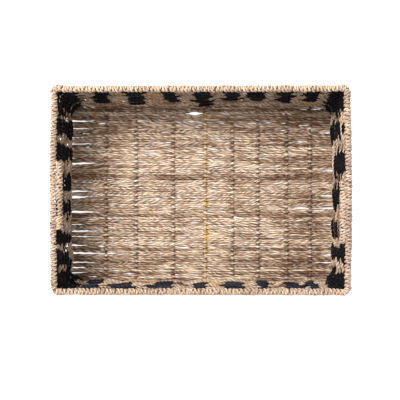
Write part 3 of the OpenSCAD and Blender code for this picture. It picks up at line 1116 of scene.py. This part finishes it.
def weave_base():
    rng = np.random.default_rng(37)
    half = FOOT_HOOP_B - HOOP_RADIUS - ROW_INSET
    rows = int(2 * half / BASE_PITCH)
    pitch = 2 * half / rows
    x = base_places(FOOT_HOOP_A - HOOP_RADIUS - END_INSET)
    crossing = np.argmin(np.abs(stake_offsets(x)), axis=1)
    pinch = bell(stake_distance(x), STAKE_PINCH)
    swell = bell(stake_distance(x), SWELL_LONG)
    stain = bell(x - middle(STRAW_STAKE, 0) - STAIN_SHIFT, STAIN_WIDE)
    side = np.tile((0.0, 1.0, 0.0), (len(x), 1))
    up = np.tile((0.0, 0.0, 1.0), (len(x), 1))
    sway = row_fields(rng, rows, x, *BASE_SWAY)
    rise = row_fields(rng, rows, x, *BASE_RISE)
    tones = row_fields(rng, rows, x, *BASE_TONE)
    slits = slit_list(rng)
    skeins = [Skein() for _ in range(BASE_PARTS)]
    for j in range(rows):
        y0 = -half + pitch * (j + 0.5)
        y = y0 + sway[j] + push_apart(y0, x, slits)
        y = np.clip(y, -half + ROW_INSET, half - ROW_INSET)
        under = (crossing + j) % 2 == 0
        over = np.where(under, -1.0, 1.0)
        z = STAKE_Z + LEVEL_Z + BASE_REACH * over * pinch + rise[j] * (1 - pinch)
        z = np.clip(z, BASE_DEPTH / 2 + BASE_FLOOR, BASE_TOP - BASE_CEILING)
        # Painted shade of the walls, taken off the tone towards the sides.
        tone = row_tone(rng) + tones[j] - base_shadow(x, y)
        tone = np.clip(tone, *BASE_TONE_LIMITS)
        golden = stain * (STAIN + STAIN_MORE * bell(y - STAIN_Y, STAIN_LONG))
        # Painted shade in the holes beside the stakes, on the rows that go under them.
        dark = DOT_DARK * hole_shade_dots(rng, x) - UNDER_LIGHT * swell
        # Painted shade on the flanks, varied along the row into dark dashes between rows.
        flanks = FLANK_LIGHT + FLANK_CHANCE * wander(rng, x, FLANK_KNOT)
        skeins[j * BASE_PARTS // rows].cord(
            np.stack([x, y, z], -1), up, BASE_WIDTH * (1 + TOP_SWELL * swell * ~under),
            BASE_DEPTH, rng, tone=tone + golden, shade=1 - under * dark, side=side,
            tapers=(False, False), mottle=BASE_MOTTLE, lay="three",
            beside=np.clip(flanks, 0, 1),
            pitch=rng.choice((-1, 1, 1)) * rng.uniform(*BASE_TWIST),
        )
    for number, skein in enumerate(skeins):
        skein.build(f"base_mat_{number + 1}", "base_seagrass", "base_weave")


# ---- Lashings ----

TURN_POINTS = 18
LASH_TWIST = 13 * MM
# How light the painted shade in the grooves of the lashing cord is.
LASH_GROOVE = 0.55
# Smooth chance from turn to turn: the knot, in turns, and the lowest and highest of the
# turn's place as a share of the spacing, and of its height in mm.
LASH_PLACE = (0.9, -0.16, 0.16)
LASH_HEIGHT = (0.8, -0.35, 0.35)
LASH_TONE_KNOT = 2.5


def lash(skein, path, out, radius, thick, wide, pitch, lean, rng, tones):
    """A cord wound round a path. Out and the Z axis span the section of the path; the
    tones are the lowest, the highest and the chance of a golden turn."""
    run = run_along(path)
    turns = int(run[-1] / pitch)
    pitch = run[-1] / turns
    angle = np.linspace(0, TAU * turns, turns * TURN_POINTS + 1)
    number = angle / TAU
    place = number * pitch + lean * np.sin(angle)
    place = place + wander(rng, number, *LASH_PLACE) * pitch
    place = np.clip(place, 0, run[-1])
    level = radius - thick / 2 + wander(rng, number, *LASH_HEIGHT) * MM
    centre = np.stack([np.interp(place, run, path[:, i]) for i in range(3)], -1)
    outward = np.stack([np.interp(place, run, out[:, i]) for i in range(3)], -1)
    upward = np.array((0.0, 0.0, 1.0))
    spoke = np.cos(angle)[:, None] * unit(outward) + np.sin(angle)[:, None] * upward
    coil = centre + spoke * level[:, None]
    low, high, odd = tones
    plain = wander(rng, number, LASH_TONE_KNOT, low, high)
    chance = rng.uniform(size=turns + 2) < odd
    golden = np.interp(number, np.arange(turns + 2), chance.astype(float))
    skein.cord(
        coil, spoke, wide, thick, rng, tone=plain + (0.99 - plain) * golden,
        pitch=LASH_TWIST, lay="open", deep=LASH_GROOVE,
    )


RIM_PITCH = 4.8 * MM
RIM_THICK = 2.9 * MM
RIM_WIDE = 4.7 * MM
# By side: how far a turn leans, and how its tone differs.
RIM_LEAN = {"front": 1.5 * MM, "back": 1.6 * MM, "left": 0.3 * MM, "right": 1.0 * MM}
RIM_TONE = {"front": -0.16, "back": 0.04, "left": -0.2, "right": -0.3}
RIM_TONE_LOW, RIM_TONE_HIGH, RIM_GOLDEN = 0.48, 0.86, 0.045
CORNER_BULGE = {
    "front_right": 1.2 * MM, "back_right": 1.6 * MM,
    "back_left": 2.4 * MM, "front_left": 0.6 * MM,
}


def corner_bulge(t):
    """How far the rim stands out at the corners, at the distances t along the loop."""
    bulge = np.zeros(len(t))
    for number, name in enumerate(CORNER_NAMES):
        near = smooth_step(1 - from_corner(t, number) / (1.1 * TURN))
        bulge += CORNER_BULGE[name] * near
    return bulge


def lash_rim():
    rng = np.random.default_rng(41)
    step = 1 * MM
    for side in SIDES:
        start = START[side] - TURN / 2
        stop = START[side] + LENGTH[side] + TURN / 2
        t = np.linspace(start, stop, int((stop - start) / step))
        path, out = loop_point(t % LOOP, np.full(len(t), RIM_Z))
        path = path + out * corner_bulge(t)[:, None]
        skein = Skein()
        lash(
            skein, path, out, RIM_RADIUS, RIM_THICK, RIM_WIDE, RIM_PITCH,
            RIM_LEAN[side], rng,
            (RIM_TONE_LOW + RIM_TONE[side], RIM_TONE_HIGH + RIM_TONE[side], RIM_GOLDEN),
        )
        skein.build(f"rim_wrap_{side}", "rim_cord", f"rim_lashing_{side}")


# The rails' cord stands this far out past the CAD lashing, and as far towards the rim.
RAIL_PAST = 1.5 * MM
RAIL_SHIFT = 0.7 * MM
RAIL_PITCH = 3.9 * MM
RAIL_WIDE = 4.4 * MM
RAIL_THICK = 2.6 * MM
RAIL_LEAN = 1.4 * MM


def lash_rails():
    rng = np.random.default_rng(43)
    for side, rail in rails.items():
        low, high = rail["ends"]
        y = np.linspace(low, high, 40)
        z = np.full(len(y), rail["z"])
        a = half_a(z) - bow(z) * (y / (half_b(z) - CORNER)) ** 2
        way = way_of(side)
        path = np.stack([way * (a + RAIL_SHIFT), y, z], -1)
        out = np.tile((float(way), 0.0, 0.0), (len(y), 1))
        skein = Skein()
        lash(
            skein, path, out, rail["radius"] + RAIL_PAST, RAIL_THICK, RAIL_WIDE,
            RAIL_PITCH, RAIL_LEAN, rng, (0.4, 0.76, 0.03),
        )
        skein.build(f"rail_wrap_{side}", "rim_cord", f"rail_lashing_{side}")


def lash_foot():
    rng = np.random.default_rng(47)
    inset = half_b(FOOT_HOOP_Z) - FOOT_HOOP_B
    t = np.linspace(0, LOOP, int(LOOP / (2 * MM)))
    path, out = loop_point(t, np.full(len(t), FOOT_HOOP_Z))
    path = path - out * inset
    skein = Skein()
    lash(
        skein, path, out, HOOP_RADIUS + 1.15 * MM, 1.2 * MM, 3.2 * MM, 3.1 * MM,
        0.6 * MM, rng, (0.4, 0.75, 0.02),
    )
    skein.build("foot_wrap", "wall_seagrass")


# ---- Wires that stay as they are ----


def dress_wires():
    for name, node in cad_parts.items():
        if node.hide_render:
            continue
        key = "straw_stake" if name == STRAW_STAKE else "frame_wire"
        node.data.materials.clear()
        node.data.materials.append(materials[key])


# ---- Floor, light and camera ----

FLOOR_SIZE = 12.0
FLOOR_GREY = 0.8
SEEN_GLOW = 0.9
DRUM_RADIUS = 5.5
DRUM_SIDES = 48


def plane(name, z, material):
    h = FLOOR_SIZE / 2
    mesh = bpy.data.meshes.new(name)
    mesh.from_pydata([(-h, -h, z), (h, -h, z), (h, h, z), (-h, h, z)], [], [(0, 1, 2, 3)])
    mesh.materials.append(material)
    floor = new_object(name, mesh)
    return floor


def floor_material(name, glow):
    material, tree, shader = new_material(name)
    place = tree.nodes.new("ShaderNodeTexCoord").outputs["Object"]
    grain = stretched_noise(tree, place, (30, 30, 30), 3)
    colour = ramp_node(
        tree, grain, ((0.3, (FLOOR_GREY * 0.985,) * 3), (0.7, (FLOOR_GREY,) * 3))
    )
    tree.links.new(colour, shader.inputs["Base Color"])
    shader.inputs["Roughness"].default_value = 0.8
    shader.inputs["Emission Color"].default_value = (1, 1, 1, 1)
    shader.inputs["Emission Strength"].default_value = glow
    return material


def backdrop():
    """A white drum round the set, which only the camera sees."""
    count = DRUM_SIDES
    angle = np.arange(count) * TAU / count
    rim = [(np.cos(a) * DRUM_RADIUS, np.sin(a) * DRUM_RADIUS) for a in angle]
    low = [(x, y, -DRUM_RADIUS) for x, y in rim]
    high = [(x, y, DRUM_RADIUS) for x, y in rim]
    walls = [
        (i, (i + 1) % count, count + (i + 1) % count, count + i) for i in range(count)
    ]
    ends = [tuple(range(count)), tuple(range(count, 2 * count))]
    mesh = bpy.data.meshes.new("backdrop")
    mesh.from_pydata(low + high, [], walls + ends)
    mesh.materials.append(floor_material("backdrop", SEEN_GLOW))
    drum = new_object("backdrop", mesh)
    only_seen(drum)


def only_seen(piece):
    piece.visible_diffuse = False
    piece.visible_glossy = False
    piece.visible_shadow = False


def area_light(name, place, size, power, colour):
    light = bpy.data.lights.new(name, "AREA")
    light.shape = "DISK"
    light.size = size
    light.energy = power
    light.color = colour
    lamp = new_object(name, light)
    lamp.location = place
    way = Vector((0, 0, 0.05)) - Vector(place)
    lamp.rotation_euler = way.to_track_quat("-Z", "Y").to_euler()


def make_stage():
    """A floor that the camera sees, one that only throws light back, sky and one lamp."""
    seen = plane("floor", -0.2 * MM, floor_material("floor", SEEN_GLOW))
    only_seen(seen)
    bounce = plane("floor_bounce", -0.4 * MM, floor_material("floor_bounce", 0.0))
    bounce.visible_camera = False
    backdrop()
    world = bpy.data.worlds.new("studio")
    bpy.context.scene.world = world
    world.use_nodes = True
    sky = world.node_tree.nodes["Background"]
    sky.inputs["Color"].default_value = (1.0, 0.965, 0.92, 1)
    sky.inputs["Strength"].default_value = 0.82
    area_light("key", (-1.35, 1.05, 2.6), 1.3, 115, (1.0, 0.97, 0.94))
    bpy.context.scene.view_settings.view_transform = "Standard"


CAMERA_ABOVE = 1.755
SEEN_WIDTH = 0.4998
SENSOR = 36


def make_camera():
    """Looks down on the rim, a little to the right and to the front of the middle."""
    aim = Vector((-0.6 * MM, -12.5 * MM, RIM_Z))
    eye = Vector((32 * MM, -58 * MM, RIM_Z + CAMERA_ABOVE))
    data = bpy.data.cameras.new("camera")
    data.sensor_width = SENSOR
    data.lens = SENSOR * CAMERA_ABOVE / SEEN_WIDTH
    camera = new_object("camera", data)
    camera.location = eye
    back = (eye - aim).normalized()
    right = Vector((0, 1, 0)).cross(back).normalized()
    axes = Matrix((right, back.cross(right), back)).transposed()
    camera.rotation_euler = axes.to_euler()
    bpy.context.scene.camera = camera


make_camera()
make_stage()
weave_walls()
weave_base()
lash_rim()
lash_rails()
lash_foot()
dress_wires()
